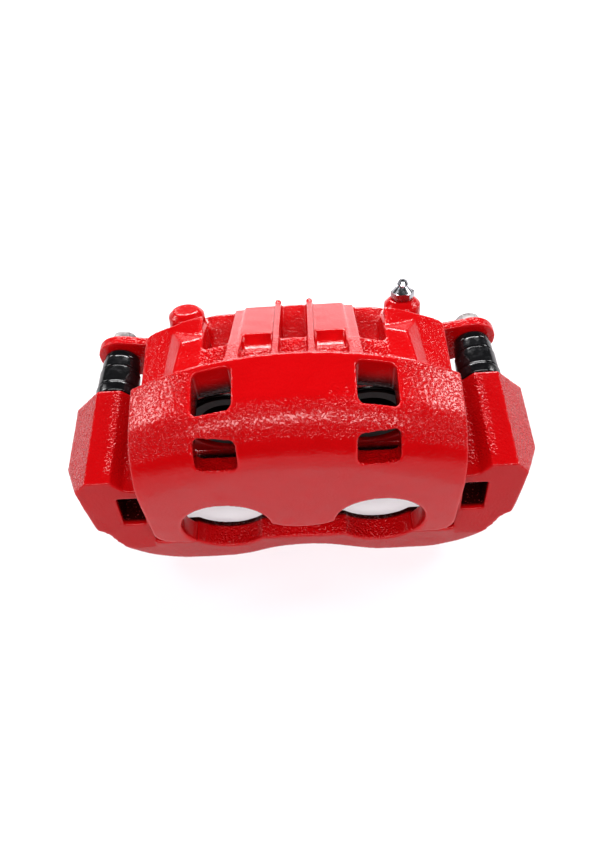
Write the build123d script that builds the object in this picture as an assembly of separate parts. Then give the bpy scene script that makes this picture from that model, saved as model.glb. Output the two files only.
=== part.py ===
"""Sliding brake caliper with two pistons, on its carrier bracket.

X runs across the caliper, Y from the outboard fingers to the inboard cylinders, Z up, away from the
wheel's hub. Every piece is drawn with the piston axes at z = 0 and the face of the fingers at y = 0.
export() then moves it so that the assembly stands on z = 0, with the origin under the middle of its box.
"""

from build123d import *

import math
import os

# Piston bores and the cut-outs in the fingers in front of them.
PISTON_X = 38.5
PISTON_RADIUS = 21.5
SLIDE_GAP = 0.05
CUTOUT_RADIUS = 22.5
BORE_FRONT = 64.0
BORE_END = 110.0

# Caliper housing: finger plate, arched bridge over the disc, cylinder block.
PLATE_HALF_WIDTH = 76.5
PLATE_THICKNESS = 11.5
FINGER_BOTTOM = -14.5
FINGER_CORNER_RADIUS = 9.0
CREST_Y = 42.0
CREST_TOP = 84.0
ARCH_RADIUS = 150.0
PANEL_SLOPE = 0.16
SHOULDER_RADIUS = 28.0
BROW_WINDOW = (36.0, 5.4, 61.2)
BROW_WINDOW_LEAN = 0.5
SLOT_TOP = 66.0
SLOT_RADIUS = 132.0
SLOT_INBOARD_Y = 51.0
PAD_TOP = 48.0
FLOOR_TOP = 62.0
FLOOR_RADIUS = 170.0
FLOOR_FRONT_Y = 60.0
FLOOR_BACK_Y = 70.0
WALL_HALF_WIDTH = 77.5
BLOCK_BACK = 118.0
CYLINDER_RADIUS = 29.0
RIM_HALF_WIDTH = 63.0
RIM_BACK = 70.0

# Ports: the bleeder and its undrilled twin lean back, the brake hose port points inboard.
BOSS_TOP = (59.0, 114.0, 38.0)
BOSS_RADIUS = 9.9
BOSS_LEAN = 20.0
BLEEDER_HOLE_RADIUS = 3.5
INLET_Z = 10.0
INLET_FACE_Y = 123.0
INLET_RADIUS = 4.25

# Guide pins, the sleeves of the bracket that they slide in, and the ears that carry them.
PIN_X = 96.0
PIN_Z = 20.0
SLEEVE_RADIUS = 6.0
PIN_RADIUS = SLEEVE_RADIUS - SLIDE_GAP
SLEEVE_FRONT = 18.0
SLEEVE_BACK = 67.0
EAR_FRONT = 97.0
EAR_BACK = 102.5
EAR_RADIUS = 13.0
BOOT_END = 95.8

# Carrier bracket.
BRACKET_FRONT = 0.8
BAR_BACK = 15.0
CORNER_BACK = 22.0
BAR_TOP = -15.0
BRACKET_BOTTOM = -36.0
CORNER_X = 104.0
CORNER_RADIUS = 45.0
CORNER_TOP = 24.0
SLEEVE_TOP = 30.7
INNER_FRAME_FRONT = 56.0
INNER_FRAME_BACK = 67.0
LUG_X = 82.0
LUG_Z = -20.0
LUG_RADIUS = 13.0
LUG_BACK = 78.0
KNUCKLE_HOLE_RADIUS = 6.25
DISC_RADIUS = 168.0
DISC_AXIS_Z = -129.0

LIFT = Pos(0, -INLET_FACE_Y / 2, -BRACKET_BOTTOM)


def block(x0, x1, y0, y1, z0, z1):
    """A box given by its limits."""
    return Pos(x0, y0, z0) * Box(x1 - x0, y1 - y0, z1 - z0, align=Align.MIN)


def along_y(outline, y0, y1):
    """Extrudes an outline drawn in (x, z) from y0 to y1."""
    return Pos(0, y0, 0) * extrude(Plane.XZ * outline, y1 - y0, dir=(0, 1, 0))


def along_x(outline, x0, x1):
    """Extrudes an outline drawn in (y, z) from x0 to x1."""
    return Pos(x0, 0, 0) * extrude(Plane.YZ * outline, x1 - x0, dir=(1, 0, 0))


def rod(x, z, radius, y0, y1):
    """A round bar along Y."""
    return along_y(Pos(x, z) * Circle(radius), y0, y1)


def both_sides(shape):
    """The shape and its mirror image in the plane x = 0."""
    return shape + mirror(shape, Plane.YZ)


def under_arch(half_width, bottom, top, radius):
    """The outline under an arch whose highest point is at x = 0."""
    strip = Pos(0, bottom) * Rectangle(2 * half_width, top - bottom, align=(Align.CENTER, Align.MIN))
    return strip & Pos(0, top - radius) * Circle(radius)


def turned(points, x=0.0, z=0.0):
    """A ring about the Y axis, from an outline of (radius, y) points, moved to (x, z)."""
    return Pos(x, 0, z) * revolve(Polygon(*points, align=None), Axis.Y)


def hexagon(across_flats):
    """A hexagon given by its size across flats."""
    return RegularPolygon(across_flats / 2, 6, major_radius=False)


# ---------------------------------------------------------------- caliper housing


def bridge():
    """Finger plate and bridge: an arch sheared upwards towards the crest, with a round shoulder."""
    low_top = CREST_TOP - PANEL_SLOPE * CREST_Y
    arch = Plane.XZ * under_arch(PLATE_HALF_WIDTH, -60, low_top, ARCH_RADIUS)
    rise = (0, CREST_Y, CREST_TOP - low_top)
    panel = extrude(arch, math.hypot(*rise), dir=rise)
    shoulder = panel.edges().filter_by(GeomType.LINE, reverse=True).sort_by(Axis.Y)[0]
    panel = fillet(shoulder, SHOULDER_RADIUS)
    front = Pos(0, 40) * Rectangle(2 * PLATE_HALF_WIDTH, 2 * (40 - FINGER_BOTTOM))
    front = fillet(front.vertices().group_by(Axis.Y)[0], FINGER_CORNER_RADIUS)
    return panel & along_y(front, -1, CREST_Y)


def crest_slope():
    """The steep back of the crest, down to the pocket floors."""
    arch = Plane.XZ * under_arch(PLATE_HALF_WIDTH, 40, CREST_TOP, ARCH_RADIUS)
    fall = (0, FLOOR_FRONT_Y - CREST_Y, FLOOR_TOP - CREST_TOP)
    return Pos(0, CREST_Y, 0) * extrude(arch, math.hypot(*fall), dir=fall)


def cylinder_block():
    """The two cylinders with the rim at their mouths, the wall above and the wings at the sides."""
    wall = along_y(under_arch(WALL_HALF_WIDTH, 20, FLOOR_TOP, FLOOR_RADIUS), CREST_Y, FLOOR_BACK_Y)
    plan = Polygon((46, 60), (WALL_HALF_WIDTH, 60), (WALL_HALF_WIDTH, 89), (75, 91.5), (46, 93), align=None)
    wings = both_sides(extrude(Pos(0, 0, 8) * plan, 60, dir=(0, 0, 1)))
    wings &= along_y(under_arch(WALL_HALF_WIDTH, 8, FLOOR_TOP, FLOOR_RADIUS), 60, 93)
    bodies = rod(PISTON_X, 0, CYLINDER_RADIUS, BORE_FRONT, BLOCK_BACK)
    web = block(-PISTON_X, PISTON_X, BORE_FRONT, BLOCK_BACK, -20, CYLINDER_RADIUS)
    top = along_y(under_arch(50, 0, 33.5, 110), BORE_FRONT, BLOCK_BACK)
    rim = Pos(0, -14) * RectangleRounded(2 * RIM_HALF_WIDTH, 28, 4)
    return wall + wings + both_sides(bodies) + web + top + along_y(rim, BORE_FRONT, RIM_BACK)


def raised_block():
    """One of the two blocks behind the crest, with chamfers at its back and outer side."""
    foot = Polygon((44.5, 46), (65, 46), (62.5, 88), (44.5, 92), align=None)
    head = Polygon((45.2, 46), (60, 46), (55.5, 74), (45.2, 77), align=None)
    base = extrude(Pos(0, 0, 30) * foot, 20, dir=(0, 0, 1))
    return base + loft([Pos(0, 0, 50) * foot, Pos(0, 0, 57) * head])


def rib(x0, x1, start_z, end_z):
    """A gusset from the back of the crest down to the rear edge of the cylinders."""
    outline = Polygon((40, start_z), (BLOCK_BACK, end_z), (BLOCK_BACK, 20), (40, 50), align=None)
    return along_x(outline, x0, x1)


def barrel_slope():
    """The slope between the centre rib and the wide rib, right side, that the scoop is cut in."""
    crest_end = (FLOOR_BACK_Y, 60)
    outline = Polygon((66, 30), (66, 62), crest_end, (BLOCK_BACK, 33), (BLOCK_BACK, 20), align=None)
    return along_x(outline, 9, 27)


def boss_axis(side):
    """A plane on top of a boss, its Z along the boss."""
    x, y, z = BOSS_TOP
    lean = math.radians(BOSS_LEAN)
    return Plane((side * x, y, z), x_dir=(1, 0, 0), z_dir=(0, math.sin(lean), math.cos(lean)))


def port_boss(side):
    """The bleeder boss or its blank twin: a round stub with a chamfered top."""
    stub = Pos(0, 0, -30) * Cylinder(BOSS_RADIUS, 30, align=(Align.CENTER, Align.CENTER, Align.MIN))
    stub = chamfer(stub.edges().group_by(Axis.Z)[-1], 3.0)
    return boss_axis(side) * stub


def ear():
    """The right arm that carries a guide pin."""
    tip = Pos(PIN_X, PIN_Z) * Circle(EAR_RADIUS)
    root = Pos(66, 12) * Rectangle(10, 28)
    arm = make_hull(tip.edges() + root.edges())
    return along_y(arm, EAR_FRONT, EAR_BACK)


def bridge_windows():
    """The two upright inspection windows and the two windows in the brow, right side."""
    upper = Pos(36.6, 28.7, 40) * extrude(RectangleRounded(18.4, 20.6, 3.2), 60)
    mouth = Plane(BROW_WINDOW, x_dir=(1, 0, 0), z_dir=(0, -1, BROW_WINDOW_LEAN))
    lower = mouth * Pos(0, 0, -24) * extrude(RectangleRounded(19.0, 15.8, 3.2), 34)
    return upper + lower


def middle_finger_gap():
    """The space under the short, rounded finger between the two cut-outs."""
    space = Pos(0, -10) * Rectangle(44, 24)
    return along_y(space - Pos(0, 27) * Circle(30), -1, PLATE_THICKNESS + 1)


def disc_slot():
    """The room for the disc and outboard pad, and the lower room for the inboard pad."""
    disc = along_y(under_arch(90, -60, SLOT_TOP, SLOT_RADIUS), PLATE_THICKNESS, SLOT_INBOARD_Y)
    pad = along_y(under_arch(66, -60, PAD_TOP, FLOOR_RADIUS), SLOT_INBOARD_Y - 1, BORE_FRONT)
    return disc + pad


def scoop():
    """The hollow between the centre rib and the wide rib, right side."""
    hollow = Cylinder(11, 15, align=(Align.CENTER, Align.CENTER, Align.MIN))
    return Pos(10.5, 74, 64) * Rot(0, 90, 0) * hollow


def bore():
    """Right piston bore with its seal groove and the step for the dust boot."""
    hole = rod(PISTON_X, 0, PISTON_RADIUS + SLIDE_GAP, BORE_FRONT - 1, BORE_END)
    groove = rod(PISTON_X, 0, 24.3, 80, 84)
    step = rod(PISTON_X, 0, 26.0, BORE_FRONT - 1, 74)
    return hole + groove + step


def fluid_passages():
    """Hose port, the drilling between the bores, the bleeder hole and its drilling."""
    inlet = rod(0, INLET_Z, INLET_RADIUS, INLET_FACE_Y - 14, INLET_FACE_Y + 1)
    inlet_end = rod(0, INLET_Z, 2.5, 105, INLET_FACE_Y - 13)
    cross = Pos(0, 105, INLET_Z) * Rot(0, 90, 0) * Cylinder(1.8, 60)
    bottom = (Align.CENTER, Align.CENTER, Align.MIN)
    bleed = Pos(0, 0, -17) * Cylinder(BLEEDER_HOLE_RADIUS, 18, align=bottom)
    seat = Pos(0, 0, -33) * Cylinder(1.5, 17, align=bottom)
    return inlet + inlet_end + cross + boss_axis(1) * (bleed + seat)


def caliper_housing():
    body = bridge() + crest_slope() + cylinder_block()
    body += both_sides(raised_block() + ear())
    body += both_sides(rib(7.0, 10.0, 80, 36) + rib(26.0, 32.5, 77, 31) + barrel_slope())
    body += both_sides(Pos(8.5, BLOCK_BACK - 0.5, 35.5) * Sphere(2.0))
    body += port_boss(1) + port_boss(-1)
    body += rod(0, INLET_Z, 9.0, BLOCK_BACK - 1, INLET_FACE_Y)
    body -= disc_slot()
    body -= both_sides(rod(PISTON_X, 0, CUTOUT_RADIUS, -1, PLATE_THICKNESS + 1))
    body -= middle_finger_gap()
    body -= both_sides(bridge_windows() + scoop() + bore())
    body -= both_sides(rod(PIN_X, PIN_Z, 4.2, EAR_FRONT - 1, EAR_BACK + 1))
    return body - fluid_passages()


# ---------------------------------------------------------------- bracket


def carrier_half(inner_x, bar_top, dip_z):
    """Right half of the outline of the carrier's outboard or inboard frame, in (x, z)."""
    bottom_x = CORNER_X - CORNER_RADIUS
    corner_z = BRACKET_BOTTOM + CORNER_RADIUS
    mid_z = dip_z + 0.24 * (BRACKET_BOTTOM - dip_z)
    edges = [
        Line((0, bar_top), (0, dip_z)),
        Spline((0, dip_z), (17, mid_z), (44, BRACKET_BOTTOM), tangents=((1, 0), (1, 0))),
        Line((44, BRACKET_BOTTOM), (bottom_x, BRACKET_BOTTOM)),
        CenterArc((bottom_x, corner_z), CORNER_RADIUS, -90, 90),
        Line((CORNER_X, corner_z), (CORNER_X, CORNER_TOP)),
        Line((CORNER_X, CORNER_TOP), (inner_x, CORNER_TOP)),
        Line((inner_x, CORNER_TOP), (inner_x, bar_top)),
        Line((inner_x, bar_top), (0, bar_top)),
    ]
    return make_face(edges)


def pad_window(y0, y1):
    """The rectangular window that a pad's lug slides in, right side."""
    return block(79.5, 91.0, y0, y1, -1.0, 18.5)


def sleeve():
    """Right guide-pin sleeve, which also ties the two frames together over the disc."""
    section = Polygon(
        (78.5, 23),
        (86, 25),
        (91.5, SLEEVE_TOP),
        (103.5, SLEEVE_TOP),
        (118.5, 15.5),
        (115, 1),
        (100.7, -8),
        (91.5, -6),
        (91.5, 6),
        (78.5, 6),
        align=None,
    )
    body = along_y(section, 2, SLEEVE_BACK)
    nose = Polygon((102.5, 0), (108.5, 8), (112.5, 16), (118.5, 29), (130, 29), (130, 0), align=None)
    return body - extrude(Pos(0, 0, -40) * nose, 90, dir=(0, 0, 1))


def corner_lean():
    """Takes the right corner's face back as it rises to the top of the sleeve."""
    outline = Polygon((BRACKET_FRONT, -20), (11, SLEEVE_TOP), (13, 40), (-5, 40), (-5, -20), align=None)
    return along_x(outline, 77, 130)


def knuckle_lug():
    """Right mounting lug with its foot."""
    return rod(LUG_X, LUG_Z, LUG_RADIUS, INNER_FRAME_FRONT, LUG_BACK) + block(
        LUG_X - LUG_RADIUS, LUG_X + LUG_RADIUS, INNER_FRAME_FRONT, LUG_BACK, BRACKET_BOTTOM, LUG_Z
    )


def bracket():
    outline = carrier_half(77.0, BAR_TOP, -26.0)
    corner = outline & Pos(77.0, 0) * Rectangle(60, 100, align=(Align.MIN, Align.CENTER))
    outer = along_y(outline, BRACKET_FRONT, BAR_BACK) + along_y(corner, BAR_BACK - 1, CORNER_BACK)
    inner = along_y(carrier_half(79.0, -30.5, -35.0), INNER_FRAME_FRONT, INNER_FRAME_BACK)
    half = outer + inner + sleeve() + knuckle_lug()
    half -= corner_lean()
    half -= rod(0, DISC_AXIS_Z, DISC_RADIUS, 22, 52)
    half -= pad_window(-1, CORNER_BACK + 1) + pad_window(INNER_FRAME_FRONT - 5, INNER_FRAME_BACK + 1)
    half -= rod(PISTON_X, 0, CUTOUT_RADIUS, -1, BAR_BACK + 1)
    half -= rod(PIN_X, PIN_Z, SLEEVE_RADIUS, SLEEVE_FRONT, SLEEVE_BACK + 1)
    half -= rod(LUG_X, LUG_Z, KNUCKLE_HOLE_RADIUS, INNER_FRAME_FRONT - 1, LUG_BACK + 1)
    return both_sides(half)


# ---------------------------------------------------------------- pistons and their rubber


def piston(side):
    """A phenolic cup, open towards the pad, with a groove for the dust boot."""
    x = side * PISTON_X
    cup = rod(x, 0, PISTON_RADIUS, 64, 108)
    cup -= rod(x, 0, 16.5, 63, 101)
    groove = rod(x, 0, 23, 65.5, 67.5) - rod(x, 0, 20.4, 65, 68)
    return cup - groove


def piston_seal(side):
    """The square-cut seal in the bore's groove."""
    return rod(side * PISTON_X, 0, 24.2, 80.3, 83.7) - rod(side * PISTON_X, 0, 21.53, 80, 84)


def piston_dust_boot(side):
    """The rubber gaiter between the piston's groove and the step in the bore."""
    outline = (
        (20.6, 65.8),
        (22.6, 65.6),
        (23.8, 67.5),
        (24.2, 71.3),
        (25.9, 71.5),
        (25.9, 73.9),
        (21.9, 73.9),
        (21.9, 71.0),
        (22.6, 69.0),
        (22.0, 67.2),
        (20.6, 67.2),
    )
    return turned(outline, side * PISTON_X)


def boot_retaining_ring(side):
    """The flat steel ring that holds the dust boot in its step."""
    outline = ((24.5, 70.1), (26.0, 70.1), (26.0, 71.3), (24.5, 71.3))
    return turned(outline, side * PISTON_X)


# ---------------------------------------------------------------- guide pins


def guide_pin(side):
    """A ground pin with a groove for its boot. The right pin's thin tip carries a rubber bushing."""
    x = side * PIN_X
    pin = rod(x, PIN_Z, PIN_RADIUS, 24, EAR_FRONT)
    pin -= rod(x, PIN_Z, 7, BOOT_END - 2.4, BOOT_END + 0.2) - rod(x, PIN_Z, 5.2, 90, EAR_FRONT)
    pin -= rod(x, PIN_Z, 4.0, 74, EAR_FRONT + 1)
    if side > 0:
        pin -= rod(x, PIN_Z, 7, 26, 36) - rod(x, PIN_Z, 4.4, 25, 37)
    return pin


def guide_pin_bushing():
    """The rubber sleeve on the tip of the right pin."""
    return rod(PIN_X, PIN_Z, PIN_RADIUS, 26.1, 35.9) - rod(PIN_X, PIN_Z, 4.4, 26, 36)


def guide_pin_boot(side):
    """The rubber bellows between the sleeve and the pin's groove."""
    outline = (
        (7.2, 67.1),
        (11.4, 67.1),
        (11.6, 72.0),
        (10.7, 73.0),
        (10.9, 84.0),
        (10.0, 85.0),
        (10.2, 91.0),
        (9.2, 92.0),
        (9.4, BOOT_END),
        (5.3, BOOT_END),
        (5.3, BOOT_END - 2.2),
        (7.2, BOOT_END - 2.4),
    )
    return turned(outline, side * PIN_X, PIN_Z)


def guide_pin_bolt(side):
    """The flanged hexagon bolt, with a domed head, that holds a pin to its ear."""
    x = side * PIN_X
    bolt = rod(x, PIN_Z, 3.95, 78, EAR_BACK + 1)
    bolt += rod(x, PIN_Z, 8.5, EAR_BACK, EAR_BACK + 1.8)
    bolt += Pos(x, EAR_BACK + 12, PIN_Z) * extrude(Plane.XZ * hexagon(13), 11, dir=(0, -1, 0))
    dome = Pos(x, EAR_BACK + 1.4, PIN_Z) * Sphere(9.6)
    return bolt & (dome + rod(x, PIN_Z, 12, 70, EAR_BACK + 3))


def bleeder_screw():
    """Hollow screw with a hexagon, a cone and a hose nipple, seated in the right boss."""
    bottom = (Align.CENTER, Align.CENTER, Align.MIN)
    screw = Pos(0, 0, -14) * Cylinder(BLEEDER_HOLE_RADIUS - SLIDE_GAP, 16, align=bottom)
    screw += Pos(0, 0, -16.5) * Cone(1.2, BLEEDER_HOLE_RADIUS - SLIDE_GAP, 2.5, align=bottom)
    screw += Pos(0, 0, 0.8) * extrude(hexagon(11), 3.4)
    screw += Pos(0, 0, 4.2) * Cone(5.3, 2.4, 3.0, align=bottom)
    screw += Pos(0, 0, 7.0) * Cylinder(2.3, 1.4, align=bottom)
    screw += Pos(0, 0, 8.4) * Cone(3.1, 2.2, 1.8, align=bottom)
    screw -= Pos(0, 0, -12) * Cylinder(0.9, 24, align=bottom)
    return boss_axis(1) * screw


def export(name, shape):
    """Writes one piece, moved so that the assembly stands on z = 0."""
    shape = LIFT * shape
    shape.label = name
    export_step(shape, f"parts/{name}.step")


os.makedirs("parts", exist_ok=True)
export("caliper_housing", caliper_housing())
export("bracket", bracket())
export("guide_pin_bushing", guide_pin_bushing())
export("bleeder_screw", bleeder_screw())
for hand, sign in (("left", -1), ("right", 1)):
    export(f"piston_{hand}", piston(sign))
    export(f"piston_seal_{hand}", piston_seal(sign))
    export(f"piston_dust_boot_{hand}", piston_dust_boot(sign))
    export(f"boot_retaining_ring_{hand}", boot_retaining_ring(sign))
    export(f"guide_pin_{hand}", guide_pin(sign))
    export(f"guide_pin_boot_{hand}", guide_pin_boot(sign))
    export(f"guide_pin_bolt_{hand}", guide_pin_bolt(sign))
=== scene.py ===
"""Looks of the sliding brake caliper: powder-coated castings, rubber bellows, plated screws and a studio.

The castings are remeshed copies of the CAD solids with rounded edges and the wrinkled relief of a
thick powder coat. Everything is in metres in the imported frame, where X runs across the caliper, -Y is
the side of the fingers and Z is up.
"""

import math

import bmesh
import bpy
import numpy as np
from mathutils import Matrix, Vector


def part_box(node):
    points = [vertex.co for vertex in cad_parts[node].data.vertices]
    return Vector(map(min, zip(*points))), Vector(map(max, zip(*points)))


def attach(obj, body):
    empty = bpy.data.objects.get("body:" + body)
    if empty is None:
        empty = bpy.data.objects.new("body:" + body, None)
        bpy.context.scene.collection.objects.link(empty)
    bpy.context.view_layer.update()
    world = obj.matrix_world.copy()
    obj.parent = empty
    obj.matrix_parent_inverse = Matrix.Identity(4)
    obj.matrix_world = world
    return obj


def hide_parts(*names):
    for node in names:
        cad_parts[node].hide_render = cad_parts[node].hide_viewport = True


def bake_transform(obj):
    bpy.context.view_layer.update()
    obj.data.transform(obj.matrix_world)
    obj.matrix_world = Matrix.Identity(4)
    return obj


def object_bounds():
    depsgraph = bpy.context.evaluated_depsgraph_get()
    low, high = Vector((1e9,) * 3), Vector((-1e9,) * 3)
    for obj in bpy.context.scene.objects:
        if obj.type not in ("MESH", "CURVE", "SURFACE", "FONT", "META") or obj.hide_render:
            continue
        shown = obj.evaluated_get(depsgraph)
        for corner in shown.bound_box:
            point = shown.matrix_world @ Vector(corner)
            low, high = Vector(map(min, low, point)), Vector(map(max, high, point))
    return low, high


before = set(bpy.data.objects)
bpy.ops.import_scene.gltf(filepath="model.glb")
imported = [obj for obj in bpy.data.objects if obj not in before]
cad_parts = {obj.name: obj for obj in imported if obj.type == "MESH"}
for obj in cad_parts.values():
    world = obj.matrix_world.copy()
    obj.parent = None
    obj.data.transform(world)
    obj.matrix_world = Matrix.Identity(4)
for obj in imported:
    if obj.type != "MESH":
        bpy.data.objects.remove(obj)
cad_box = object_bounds()

MM = 0.001
SIDES = ("left", "right")


def centre(node):
    """The middle of a CAD node's box."""
    low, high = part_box(node)
    return (Vector(low) + Vector(high)) / 2


# Reference places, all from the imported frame: the fingers' face, the crest, the piston axes, the floor.
FACE_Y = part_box("caliper_housing")[0][1]
TOP_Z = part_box("caliper_housing")[1][2]
PISTON_Z = centre("piston_right").z
FLOOR_Z = cad_box[0][2]

# The bridge: its arch, how steeply the panel climbs to the crest, and how far behind the face are the
# back of the finger plate, the crest and the mouths of the bores.
ARCH_RADIUS = 150 * MM
PANEL_SLOPE = 0.16
PLATE_BACK = 12 * MM
CREST_BACK = 42 * MM
BORE_MOUTH = 62 * MM

# The arched floor of the pockets behind the crest, above the piston axes.
POCKET_FLOOR_RADIUS = 170 * MM
POCKET_FLOOR_TOP = 59 * MM

# The outboard pad windows in the bracket, across and above the piston axes, and the corner's lean.
WINDOW_ACROSS = (79.3 * MM, 91.2 * MM)
WINDOW_HEIGHT = (-1.2 * MM, 18.7 * MM)
WINDOW_EDGE = 0.7 * MM
CORNER_LEAN = 0.2

# The castings' grid, and the play between a bore's wall and what slides in it.
CASTING_VOXEL = 0.7 * MM
BORE_PLAY = 0.08 * MM


# ---------------------------------------------------------------- materials


class Nodes:
    """A short way to write a material's node tree."""

    def __init__(self, name):
        self.material = bpy.data.materials.new(name)
        self.material.use_nodes = True
        self.tree = self.material.node_tree
        self.tree.nodes.clear()
        self.output = self.add("ShaderNodeOutputMaterial")
        self.place = self.add("ShaderNodeTexCoord").outputs["Object"]

    def add(self, kind, **settings):
        node = self.tree.nodes.new(kind)
        for key, value in settings.items():
            setattr(node, key, value)
        return node

    def put(self, value, socket):
        """Links an output to a socket, or sets the socket's own value."""
        if isinstance(value, bpy.types.NodeSocket):
            self.tree.links.new(value, socket)
        else:
            socket.default_value = value

    def noise(self, size, detail=4.0, roughness=0.55):
        """Noise whose blotches are about size across."""
        node = self.add("ShaderNodeTexNoise")
        self.put(self.place, node.inputs["Vector"])
        node.inputs["Scale"].default_value = 1 / size
        node.inputs["Detail"].default_value = detail
        node.inputs["Roughness"].default_value = roughness
        return node.outputs["Fac"]

    def spread(self, value, low, high, to_low=0.0, to_high=1.0):
        """Stretches low..high to to_low..to_high and holds it there."""
        node = self.add("ShaderNodeMapRange")
        self.put(value, node.inputs["Value"])
        limits = (("From Min", low), ("From Max", high), ("To Min", to_low), ("To Max", to_high))
        for key, limit in limits:
            node.inputs[key].default_value = limit
        return node.outputs["Result"]

    def maths(self, operation, a, b):
        node = self.add("ShaderNodeMath", operation=operation)
        self.put(a, node.inputs[0])
        self.put(b, node.inputs[1])
        return node.outputs["Value"]

    def mix(self, share, a, b):
        node = self.add("ShaderNodeMix", data_type="RGBA")
        self.put(share, node.inputs[0])
        self.put(a, node.inputs[6])
        self.put(b, node.inputs[7])
        return node.outputs[2]

    def attribute(self, name):
        return self.add("ShaderNodeAttribute", attribute_name=name).outputs["Fac"]

    def bump(self, height, distance, strength, below=None):
        node = self.add("ShaderNodeBump")
        self.put(height, node.inputs["Height"])
        node.inputs["Distance"].default_value = distance
        node.inputs["Strength"].default_value = strength
        if below is not None:
            self.put(below, node.inputs["Normal"])
        return node.outputs["Normal"]

    def principled(self, **sockets):
        node = self.add("ShaderNodeBsdfPrincipled")
        for name, value in sockets.items():
            self.put(value, node.inputs[name.replace("_", " ")])
        self.tree.links.new(node.outputs["BSDF"], self.output.inputs["Surface"])
        return self.material


def powder_coat(name, base, shade):
    """A thick glossy coat: orange peel everywhere, wrinkles where the casting is coarse.

    The mesh's own values say where it is coarse, where its edges are, which get a painted highlight, and
    where it is painted dark as shade with dust specks."""
    n = Nodes(name)
    coarse = n.attribute("coarse")
    painted_edge_highlight = n.attribute("edge")
    inner = n.attribute("inner")
    cloudy = n.spread(n.noise(14 * MM), 0.35, 0.65)
    colour = n.mix(n.maths("MULTIPLY", cloudy, 0.35), base, shade)
    # Outward edges are mixed towards a lighter red: a painted highlight.
    colour = n.mix(n.maths("MULTIPLY", painted_edge_highlight, 0.2), colour, (0.70, 0.02, 0.025, 1))
    # Under the bridge and in the pad windows the colour goes near black with dust specks: painted shade.
    specks_in_shade = n.spread(n.noise(1.1 * MM, 5.0), 0.60, 0.68)
    inside = n.mix(specks_in_shade, (0.022, 0.001, 0.001, 1), (0.16, 0.03, 0.03, 1))
    colour = n.mix(inner, colour, inside)
    peel = n.bump(n.noise(2.4 * MM, 2.0), 0.12 * MM, 0.35)
    wrinkle = n.spread(n.noise(1.25 * MM, 1.0, 0.4), 0.42, 0.58)
    height = n.maths("MULTIPLY", wrinkle, coarse)
    normal = n.bump(height, 0.30 * MM, 1.0, peel)
    roughness = n.spread(n.noise(3.0 * MM), 0.3, 0.7, 0.14, 0.20)
    return n.principled(
        Base_Color=colour,
        Roughness=roughness,
        IOR=1.38,
        Normal=normal,
    )


def rubber(name):
    """Moulded black rubber, slightly glossy, with faint scuffs."""
    n = Nodes(name)
    scuffed = n.spread(n.noise(3.5 * MM, 6.0), 0.5, 0.75)
    colour = n.mix(scuffed, (0.006, 0.006, 0.007, 1), (0.016, 0.016, 0.018, 1))
    normal = n.bump(n.noise(0.5 * MM), 0.012 * MM, 0.3)
    normal = n.bump(n.noise(4.0 * MM, 1.0), 0.05 * MM, 0.15, normal)
    roughness = n.spread(scuffed, 0.0, 1.0, 0.16, 0.30)
    return n.principled(Base_Color=colour, Roughness=roughness, Normal=normal)


def steel(name, dark, light, roughness):
    """Plated or ground steel with fine grain and stains."""
    n = Nodes(name)
    stained = n.spread(n.noise(4.0 * MM, 6.0), 0.35, 0.7)
    colour = n.mix(stained, light, dark)
    normal = n.bump(n.noise(0.35 * MM, 3.0), 0.015 * MM, 0.35)
    normal = n.bump(n.noise(2.0 * MM, 3.0), 0.05 * MM, 0.25, normal)
    rough = n.spread(n.noise(1.4 * MM, 5.0), 0.3, 0.7, roughness - 0.06, roughness + 0.12)
    return n.principled(Base_Color=colour, Metallic=1.0, Roughness=rough, Normal=normal)


def phenolic(name):
    """Dark moulded resin with fine flecks."""
    n = Nodes(name)
    flecks = n.spread(n.noise(0.9 * MM, 5.0), 0.55, 0.72)
    colour = n.mix(flecks, (0.012, 0.010, 0.009, 1), (0.045, 0.036, 0.030, 1))
    normal = n.bump(n.noise(0.7 * MM), 0.02 * MM, 0.3)
    roughness = n.spread(flecks, 0.0, 1.0, 0.42, 0.58)
    return n.principled(Base_Color=colour, Roughness=roughness, Normal=normal)


def studio_floor():
    """Pale paper with a faint tooth. A glow of its own keeps the shadows on it pale."""
    n = Nodes("studio_floor")
    colour = n.mix(n.noise(60 * MM), (0.43, 0.42, 0.43, 1), (0.46, 0.45, 0.455, 1))
    normal = n.bump(n.noise(0.8 * MM), 0.02 * MM, 0.2)
    glow = (1.0, 0.93, 0.97, 1)
    return n.principled(
        Base_Color=colour, Roughness=0.55, Normal=normal, Emission_Color=glow, Emission_Strength=0.40
    )


CALIPER_RED = powder_coat("caliper_red_coat", (0.43, 0.002, 0.004, 1), (0.38, 0.001, 0.002, 1))
BRACKET_RED = powder_coat("bracket_red_coat", (0.37, 0.002, 0.004, 1), (0.33, 0.001, 0.002, 1))
BOOT_RUBBER = rubber("boot_rubber_moulded")
PISTON_PHENOLIC = phenolic("piston_phenolic_moulded")
PIN_STEEL = steel("pin_steel_ground", (0.50, 0.49, 0.48, 1), (0.66, 0.65, 0.64, 1), 0.20)
BOLT_STEEL = steel("bolt_steel_plated", (0.16, 0.14, 0.14, 1), (0.52, 0.49, 0.49, 1), 0.30)
BLEEDER_STEEL = steel("bleeder_steel_plated", (0.24, 0.24, 0.26, 1), (0.46, 0.46, 0.49, 1), 0.20)
RING_STEEL = steel("ring_steel_spring", (0.30, 0.29, 0.28, 1), (0.45, 0.44, 0.42, 1), 0.30)


# ---------------------------------------------------------------- mesh helpers


def new_object(name, mesh, material):
    obj = bpy.data.objects.new(name, mesh)
    bpy.context.scene.collection.objects.link(obj)
    mesh.materials.clear()
    mesh.materials.append(material)
    return obj


def settle_modifiers(obj):
    """Replaces an object's mesh by its modified mesh."""
    graph = bpy.context.evaluated_depsgraph_get()
    mesh = bpy.data.meshes.new_from_object(obj.evaluated_get(graph))
    obj.modifiers.clear()
    obj.data = mesh


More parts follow.
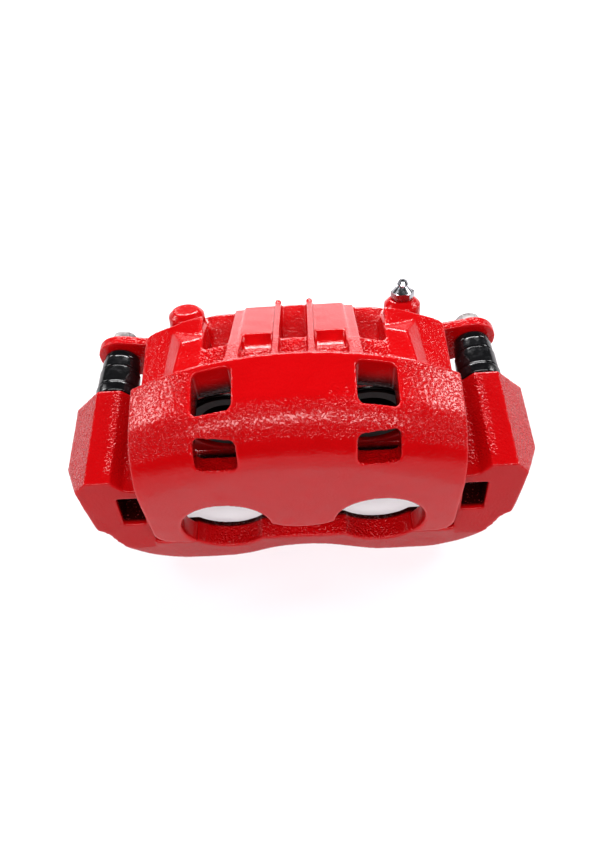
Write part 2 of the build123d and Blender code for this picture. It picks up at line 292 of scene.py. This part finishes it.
def vertex_arrays(mesh):
    count = len(mesh.vertices)
    places = np.empty(count * 3)
    normals = np.empty(count * 3)
    mesh.vertices.foreach_get("co", places)
    mesh.vertices.foreach_get("normal", normals)
    return places.reshape(-1, 3), normals.reshape(-1, 3)


def store(mesh, name, values):
    attribute = mesh.attributes.new(name, "FLOAT", "POINT")
    attribute.data.foreach_set("value", values.astype(np.float32))


def ramp(values, low, high):
    """A smooth step from 0 at low to 1 at high; low may be the larger."""
    t = np.clip((values - low) / (high - low), 0, 1)
    return t * t * (3 - 2 * t)


def wave_field(places, wavelength, seed, waves=28):
    """A winding relief of about one wavelength, mostly between -1 and 1: a sum of plane waves."""
    random = np.random.default_rng(seed)
    directions = random.normal(size=(waves, 3))
    directions /= np.linalg.norm(directions, axis=1)[:, None]
    stretch = random.uniform(0.85, 1.2, size=waves)
    phases = random.uniform(0, 2 * math.pi, size=waves)
    total = np.zeros(len(places))
    for direction, factor, phase in zip(directions, stretch, phases):
        total += np.sin(places @ direction * (2 * math.pi * factor / wavelength) + phase)
    return total / math.sqrt(waves / 2)


def neighbour_mean(mesh, values):
    """Each vertex's mean of its neighbours' values."""
    edges = np.empty(len(mesh.edges) * 2, dtype=np.int64)
    mesh.edges.foreach_get("vertices", edges)
    a, b = edges.reshape(-1, 2).T
    shape = (len(mesh.vertices),) + values.shape[1:]
    total = np.zeros(shape)
    np.add.at(total, a, values[b])
    np.add.at(total, b, values[a])
    count = np.bincount(edges, minlength=shape[0])
    return total / count.reshape((-1,) + (1,) * (values.ndim - 1))


def edge_share(mesh, places, normals):
    """0 on flat and hollow places, 1 on outward edges."""
    outward = ((places - neighbour_mean(mesh, places)) * normals).sum(axis=1)
    for _ in range(3):
        outward = neighbour_mean(mesh, outward)
    return ramp(outward, 0.01 * MM, 0.06 * MM)


def true_bore(places, middle, radius, reach, y0, y1):
    """Puts the vertices near a bore's wall exactly on it."""
    dx = places[:, 0] - middle.x
    dz = places[:, 2] - middle.z
    distance = np.hypot(dx, dz)
    near = (abs(distance - radius) < reach) & (places[:, 1] > y0) & (places[:, 1] < y1)
    factor = radius / distance[near]
    places[near, 0] = middle.x + dx[near] * factor
    places[near, 2] = middle.z + dz[near] * factor


def casting(node, name, material, coarse_of):
    """A copy of a CAD casting with rounded edges, and its vertices' places with the coat's relief."""
    obj = new_object(name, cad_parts[node].data.copy(), material)
    remesh = obj.modifiers.new("remesh", "REMESH")
    remesh.mode = "VOXEL"
    remesh.voxel_size = CASTING_VOXEL
    smooth = obj.modifiers.new("smooth", "SMOOTH")
    smooth.factor = 0.5
    smooth.iterations = 5
    settle_modifiers(obj)
    mesh = obj.data
    places, normals = vertex_arrays(mesh)
    coarse = coarse_of(places, normals)
    edge = edge_share(mesh, places, normals)
    relief = np.tanh(1.5 * wave_field(places, 2.1 * MM, 3)) * (0.06 * MM) * coarse
    relief += wave_field(places, 13 * MM, 5) * 0.03 * MM
    places += normals * relief[:, None]
    return obj, places, coarse, edge


def finish_casting(obj, places, coarse, edge, body, node):
    """Gives a casting its relief and the values that its material reads."""
    mesh = obj.data
    # The painted shade, with dust specks, under the bridge and in the bracket's pad windows.
    store(mesh, "inner", np.maximum(shade_and_dust_under_bridge(places), shade_and_dust_in_windows(places)))
    mesh.vertices.foreach_set("co", places.ravel())
    mesh.update()
    store(mesh, "coarse", coarse)
    store(mesh, "edge", edge)
    mesh.shade_smooth()
    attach(obj, body)
    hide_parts(node)


# ---------------------------------------------------------------- castings


def arch_drop(across, radius, limit):
    """How far an arch of this radius has fallen at this distance from its middle."""
    return radius - np.sqrt(radius**2 - np.minimum(across, limit) ** 2)


def shade_and_dust_under_bridge(places):
    """1 on the faces that the bridge covers, which the coat paints dark as shade with dust, 0 outside."""
    across = abs(places[:, 0])
    back = places[:, 1] - FACE_Y
    arch = TOP_Z - arch_drop(across, ARCH_RADIUS, 76 * MM)
    depth = arch - PANEL_SLOPE * np.clip(CREST_BACK - back, 0, None) - places[:, 2]
    covered = ramp(depth, 7 * MM, 17 * MM) * ramp(across, 75.5 * MM, 74 * MM)
    covered *= ramp(back, PLATE_BACK - 0.4 * MM, PLATE_BACK + 0.4 * MM)
    covered *= 1 - ramp(back, BORE_MOUTH, BORE_MOUTH + 2.5 * MM)
    pocket_floor = PISTON_Z + POCKET_FLOOR_TOP - arch_drop(across, POCKET_FLOOR_RADIUS, 78 * MM)
    open_above = (back > CREST_BACK) & (places[:, 2] > pocket_floor)
    return np.where(open_above, 0, covered)


def between(values, limits, edge):
    """1 between two limits, falling to 0 over the edge outside them."""
    low, high = limits
    return ramp(values, low - edge, low) * ramp(values, high + edge, high)


def shade_and_dust_in_windows(places):
    """1 inside the bracket's outboard pad windows, which the coat paints dark as shade with dust, 0
    outside.
    """
    back = places[:, 1] - FACE_Y
    height = places[:, 2] - PISTON_Z
    inside = between(abs(places[:, 0]), WINDOW_ACROSS, WINDOW_EDGE)
    inside *= between(height, WINDOW_HEIGHT, WINDOW_EDGE)
    lean = CORNER_LEAN * (height + 20 * MM)
    return inside * ramp(back - lean, 2.0 * MM, 4.0 * MM) * ramp(back, 56 * MM, 54 * MM)


def housing_coarse(places, normals):
    """Where the housing's coat is wrinkled: panel sides, the round shoulder, behind the crest."""
    across = abs(places[:, 0])
    back = places[:, 1] - FACE_Y
    top = normals[:, 2]
    sides = ramp(across, 42 * MM, 54 * MM)
    shoulder = ramp(back, 24 * MM, 15 * MM)
    off_middle = ramp(across, 0 * MM, 30 * MM)
    panel = np.maximum(sides, shoulder * (0.75 + 0.25 * off_middle))
    panel = np.maximum(panel, 0.35 * ramp(back, 33 * MM, 20 * MM) * ramp(places[:, 0], 0, 20 * MM))
    panel *= ramp(top, 0.54, 0.68) * (1 - ramp(back, 42 * MM, 44 * MM))
    behind = ramp(back, 43 * MM, 45 * MM) * (1 - ramp(back, 66 * MM, 72 * MM))
    behind *= 1 - ramp(across, 44 * MM, 47 * MM)
    behind *= 1 - 0.8 * ramp(places[:, 2], TOP_Z - 9 * MM, TOP_Z - 2 * MM)
    inside = ramp(-top, 0.2, 0.6)
    wings = 0.3 * ramp(across, 60 * MM, 66 * MM) * ramp(back, 50 * MM, 60 * MM)
    face = 0.10 * np.ones(len(places))
    return np.maximum.reduce([panel, 0.9 * behind, 0.6 * inside, wings, face])


def bracket_coarse(places, normals):
    """Where the bracket's coat is wrinkled: the sleeves' outer facets and the inner walls."""
    across = abs(places[:, 0])
    outward = normals[:, 0] * np.sign(places[:, 0])
    back = places[:, 1] - FACE_Y
    facets = ramp(outward, 0.35, 0.6) * ramp(back, 3 * MM, 12 * MM)
    walls = ramp(normals[:, 2], 0.3, 0.7) * ramp(across, 60 * MM, 40 * MM)
    inner_edge = 0.6 * ramp(across, 97 * MM, 93 * MM) * ramp(normals[:, 2], 0.5, 0.9)
    inner_edge *= ramp(back, 12 * MM, 20 * MM)
    return np.maximum.reduce([facets, 0.8 * walls, inner_edge, 0.12 * np.ones(len(places))])


def outer_radius(node):
    """The radius of a round CAD node whose axis lies along Y."""
    low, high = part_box(node)
    return (high[0] - low[0]) / 2


def make_castings():
    obj, places, coarse, edge = casting("caliper_housing", "housing_casting", CALIPER_RED, housing_coarse)
    for side in SIDES:
        low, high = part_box(f"piston_{side}")
        radius = outer_radius(f"piston_{side}") + BORE_PLAY
        true_bore(places, centre(f"piston_{side}"), radius, 1.0 * MM, low[1] + 10 * MM, high[1])
    finish_casting(obj, places, coarse, edge, "caliper", "caliper_housing")

    obj, places, coarse, edge = casting("bracket", "bracket_casting", BRACKET_RED, bracket_coarse)
    radius = outer_radius("guide_pin_bushing") + BORE_PLAY
    for side in SIDES:
        middle = centre(f"guide_pin_{side}")
        true_bore(places, middle, radius, 1.0 * MM, FACE_Y + 19 * MM, FACE_Y + 66 * MM)
    finish_casting(obj, places, coarse, edge, "bracket", "bracket")


# ---------------------------------------------------------------- turned pieces


def rounded(points, radius, steps=4):
    """Rounds each corner of a closed outline with a short curve."""
    out = []
    count = len(points)
    for i, corner in enumerate(points):
        here = Vector(corner)
        before = Vector(points[i - 1]) - here
        after = Vector(points[(i + 1) % count]) - here
        cut = min(radius, before.length * 0.45, after.length * 0.45)
        start = here + before.normalized() * cut
        end = here + after.normalized() * cut
        for step in range(steps + 1):
            t = step / steps
            out.append(start * (1 - t) ** 2 + here * 2 * t * (1 - t) + end * t**2)
    return out


def turned(name, outline, middle, material, segments=96):
    """A ring about an axis along Y through middle, from a closed outline of (radius, y)."""
    bm = bmesh.new()
    rings = []
    for step in range(segments):
        angle = 2 * math.pi * step / segments
        cosine, sine = math.cos(angle), math.sin(angle)
        ring = [bm.verts.new((middle.x + r * cosine, y, middle.z + r * sine)) for r, y in outline]
        rings.append(ring)
    for step in range(segments):
        ring, following = rings[step], rings[(step + 1) % segments]
        for i in range(len(outline)):
            j = (i + 1) % len(outline)
            bm.faces.new((ring[i], ring[j], following[j], following[i]))
    bmesh.ops.recalc_face_normals(bm, faces=bm.faces)
    mesh = bpy.data.meshes.new(name)
    bm.to_mesh(mesh)
    bm.free()
    mesh.shade_smooth()
    return new_object(name, mesh, material)


def guide_pin_bellows(side):
    """The bellows of one guide pin: three rings, each stepped in behind the one before, and a lip."""
    node = f"guide_pin_boot_{side}"
    low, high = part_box(node)
    middle = centre(node)
    start, end = low[1], high[1]
    outer = outer_radius(node)
    pin = 5.35 * MM
    length = end - start
    # Each station is a share of the length from the sleeve to the ear, and of the outer radius.
    stations = (
        (0.0, 0.93), (0.02, 0.97), (0.15, 1.0), (0.19, 0.99),
        (0.205, 0.90), (0.22, 0.915), (0.24, 0.955), (0.54, 0.935), (0.58, 0.93),
        (0.595, 0.84), (0.61, 0.86), (0.63, 0.885), (0.80, 0.87), (0.84, 0.86),
        (0.855, 0.78), (0.875, 0.80), (0.97, 0.81), (1.0, 0.77),
    )
    wall = 1.5 * MM
    bore = 7.2 * MM
    outside = [(outer * r, start + length * t) for t, r in stations]
    inside = [(max(outer * r - wall, bore), start + length * t) for t, r in stations[1:-4]]
    inside = [(bore + 0.1 * MM, start)] + inside + [(pin, end - 1.8 * MM), (pin, end)]
    outline = rounded(outside + inside[::-1], 0.3 * MM)
    piece = turned(f"guide_pin_bellows_{side}", outline, middle, BOOT_RUBBER)
    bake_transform(piece)
    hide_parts(node)


def piston_gaiter(side):
    """The folded dust boot between the piston's groove and the bore."""
    node = f"piston_dust_boot_{side}"
    low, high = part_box(node)
    middle = centre(node)
    outer = outer_radius(node)
    start, end = low[1], high[1]
    lip = outer - 5.2 * MM
    outline = (
        (lip, start + 0.3 * MM),
        (outer - 3.2 * MM, start),
        (outer - 2.1 * MM, start + 1.4 * MM),
        (outer - 2.6 * MM, start + 3.0 * MM),
        (outer - 1.6 * MM, start + 5.4 * MM),
        (outer - 0.05 * MM, start + 6.1 * MM),
        (outer - 0.05 * MM, end - 0.1 * MM),
        (outer - 3.9 * MM, end - 0.1 * MM),
        (outer - 3.9 * MM, end - 2.4 * MM),
        (outer - 3.2 * MM, start + 3.2 * MM),
        (outer - 3.7 * MM, start + 1.6 * MM),
        (lip, start + 1.5 * MM),
    )
    piece = turned(f"piston_gaiter_{side}", rounded(outline, 0.35 * MM), middle, BOOT_RUBBER, 128)
    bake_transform(piece)
    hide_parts(node)


def make_rubber():
    for side in SIDES:
        guide_pin_bellows(side)
        piston_gaiter(side)


# ---------------------------------------------------------------- carried-over CAD nodes


def dress(node, material, width=0.25 * MM):
    """Gives a CAD node its material and softens its edges."""
    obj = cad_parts[node]
    obj.data.materials.clear()
    obj.data.materials.append(material)
    bevel = obj.modifiers.new("bevel", "BEVEL")
    bevel.width = width
    bevel.segments = 2
    bevel.limit_method = "ANGLE"
    bevel.angle_limit = math.radians(30)


def make_metal():
    dress("bleeder_screw", BLEEDER_STEEL, 0.2 * MM)
    dress("guide_pin_bushing", BOOT_RUBBER)
    for side in SIDES:
        dress(f"piston_{side}", PISTON_PHENOLIC, 0.3 * MM)
        dress(f"piston_seal_{side}", BOOT_RUBBER, 0.1 * MM)
        dress(f"boot_retaining_ring_{side}", RING_STEEL, 0.15 * MM)
        dress(f"guide_pin_{side}", PIN_STEEL, 0.2 * MM)
        dress(f"guide_pin_bolt_{side}", BOLT_STEEL, 0.3 * MM)


# ---------------------------------------------------------------- studio


def make_floor():
    bm = bmesh.new()
    corners = ((-2.0, -0.42), (2.0, -0.42), (2.0, 2.2), (-2.0, 2.2))
    bm.faces.new([bm.verts.new((x, y, FLOOR_Z)) for x, y in corners])
    mesh = bpy.data.meshes.new("floor")
    bm.to_mesh(mesh)
    bm.free()
    new_object("floor", mesh, studio_floor())


def softbox(name, place, target, size, power):
    light = bpy.data.lights.new(name, "AREA")
    light.shape = "RECTANGLE"
    light.size, light.size_y = size
    light.energy = power
    obj = bpy.data.objects.new(name, light)
    obj.location = place
    obj.rotation_euler = (Vector(target) - Vector(place)).to_track_quat("-Z", "Y").to_euler()
    bpy.context.scene.collection.objects.link(obj)


def make_lights():
    softbox("back", (0, 1.7, 0.95), (0, 0, 0.03), (1.8, 0.5), 52)
    softbox("side_left", (-1.3, 0.45, 0.75), (0, 0, 0.05), (0.35, 0.5), 7)
    softbox("side_right", (1.3, 0.45, 0.75), (0, 0, 0.05), (0.35, 0.5), 9)
    softbox("front", (0.0, -0.62, 0.98), (0, 0, 0.05), (1.7, 0.22), 16.0)
    world = bpy.data.worlds.new("studio")
    world.use_nodes = True
    background = world.node_tree.nodes["Background"]
    background.inputs["Color"].default_value = (1, 1, 1, 1)
    background.inputs["Strength"].default_value = 0.06
    bpy.context.scene.world = world


def make_camera():
    """Looks down at the fingers, a little from the right, with the horizon tilted."""
    azimuth, elevation, roll = (math.radians(a) for a in (-2.2, 56.2, 4.7))
    flat, drop = math.cos(elevation), math.sin(elevation)
    ahead = Vector((math.sin(azimuth) * flat, math.cos(azimuth) * flat, -drop))
    level = Vector((math.cos(azimuth), -math.sin(azimuth), 0))
    upright = level.cross(ahead)
    right = level * math.cos(roll) - upright * math.sin(roll)
    up = level * math.sin(roll) + upright * math.cos(roll)
    camera = bpy.data.cameras.new("camera")
    camera.lens = 31.24
    camera.sensor_width = 36.0
    camera.sensor_fit = "AUTO"
    obj = bpy.data.objects.new("camera", camera)
    turn = Matrix((right, up, -ahead)).transposed()
    obj.matrix_world = Matrix.Translation((0.00873, -0.22692, 0.37143)) @ turn.to_4x4()
    bpy.context.scene.collection.objects.link(obj)
    bpy.context.scene.camera = obj
    bpy.context.scene.view_settings.view_transform = "Standard"
    bpy.context.scene.view_settings.look = "Medium High Contrast"


make_castings()
make_rubber()
make_metal()
make_floor()
make_lights()
make_camera()
